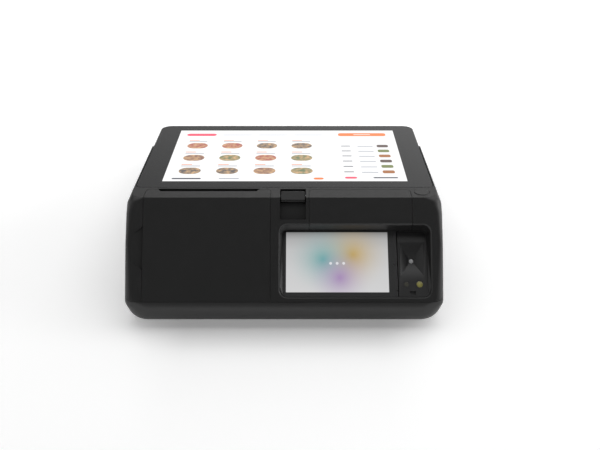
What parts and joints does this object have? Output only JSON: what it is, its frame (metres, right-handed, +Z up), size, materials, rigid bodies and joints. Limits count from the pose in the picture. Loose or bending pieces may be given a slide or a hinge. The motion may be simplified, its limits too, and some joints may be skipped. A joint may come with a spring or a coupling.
{
  "type": "desktop payment terminal",
  "caption": "Wedge-shaped counter terminal with a large tilted touch display, a receipt printer under a hinged cover and a customer screen with a code scanner.",
  "frame": {"origin": "middle of the footprint at the soles of the feet", "axes": "+X to the right seen from the customer, +Y towards the shop keeper, +Z up"},
  "size_m": [0.2684, 0.2502, 0.086],
  "materials": {
    "case_black": "satin, fine grain",
    "glass_black": "gloss",
    "screen": "lit panel",
    "board": "solder mask",
    "steel": "plain",
    "brass": "plain",
    "aluminium": "satin",
    "rubber": "matt",
    "natural": "natural resin",
    "dark_plastic": "matt",
    "lens": "gloss",
    "light_grey": "frosted",
    "light_yellow": "frosted"
  },
  "bodies": {
    "case": {"base_tray": "case_black", "rear_housing": "case_black", "display_frame": "case_black", "main_glass": "glass_black", "main_lcd": "screen", "service_panel": "case_black", "tap_antenna": "board", "customer_glass": "glass_black", "customer_lcd": "screen", "scanner_bezel": "case_black", "scanner_lens": "lens", "scan_camera": "board", "scan_light": "light_grey", "aim_light": "light_yellow", "power_switch": "steel", "switch_board": "board", "hinge_pins": "steel", "idler_pin": "steel", "stepper_motor": "steel", "printer_chassis": "steel", "print_head": "natural", "head_heat_sink": "aluminium", "head_springs": "steel", "tear_bar": "steel", "paper_bucket": "dark_plastic", "main_board": "board", "heat_sink": "aluminium", "power_jack": "dark_plastic", "usb_ports": "steel", "lan_port": "steel", "drawer_port": "dark_plastic", "speaker": "dark_plastic", "rubber_feet": "rubber", "case_screws": "steel", "board_screws": "steel", "display_screws": "steel", "lever_spring": "steel"},
    "cover": {"printer_cover": "case_black", "hinge_arms": "dark_plastic", "platen_holder": "dark_plastic", "platen_bushes": "brass"},
    "platen": {"platen_shaft": "steel", "platen_roller": "rubber", "platen_gear": "natural"},
    "idler": {"idler_gear": "natural"},
    "pinion": {"motor_pinion": "brass"},
    "lever": {"release_lever": "case_black", "lever_shaft": "steel", "latch_cam": "natural"},
    "button": {"power_button": "case_black"}
  },
  "joints": [
    {"name": "cover_hinge", "type": "hinge", "parent": "case", "child": "cover", "pos_m": [-0.06535, -0.12064, 0.016], "axis": [1, 0, 0], "range_deg": [0, 70]},
    {"name": "platen_spin", "type": "hinge", "parent": "cover", "child": "platen", "pos_m": [-0.06535, -0.04842, 0.07373], "axis": [1, 0, 0], "continuous": true},
    {"name": "idler_spin", "type": "hinge", "parent": "case", "child": "idler", "pos_m": [-0.01775, -0.04329, 0.06272], "axis": [1, 0, 0], "continuous": true},
    {"name": "pinion_spin", "type": "hinge", "parent": "case", "child": "pinion", "pos_m": [-0.01775, -0.04092, 0.05388], "axis": [1, 0, 0], "continuous": true},
    {"name": "lever_hinge", "type": "hinge", "parent": "case", "child": "lever", "pos_m": [0.0074, -0.04404, 0.07773], "axis": [-1, 0, 0], "range_deg": [0, 20], "stiffness_Nm_per_rad": 0.05},
    {"name": "power_press", "type": "slide", "parent": "case", "child": "button", "axis": [0, -0.2588, -0.9659], "range_m": [0, 0.0008], "stiffness_N_per_m": 400}
  ],
  "couplings": [
    {"joint": "idler_spin", "follows": "platen_spin", "ratio": -1.2222},
    {"joint": "pinion_spin", "follows": "platen_spin", "ratio": 1.8333}
  ]
}
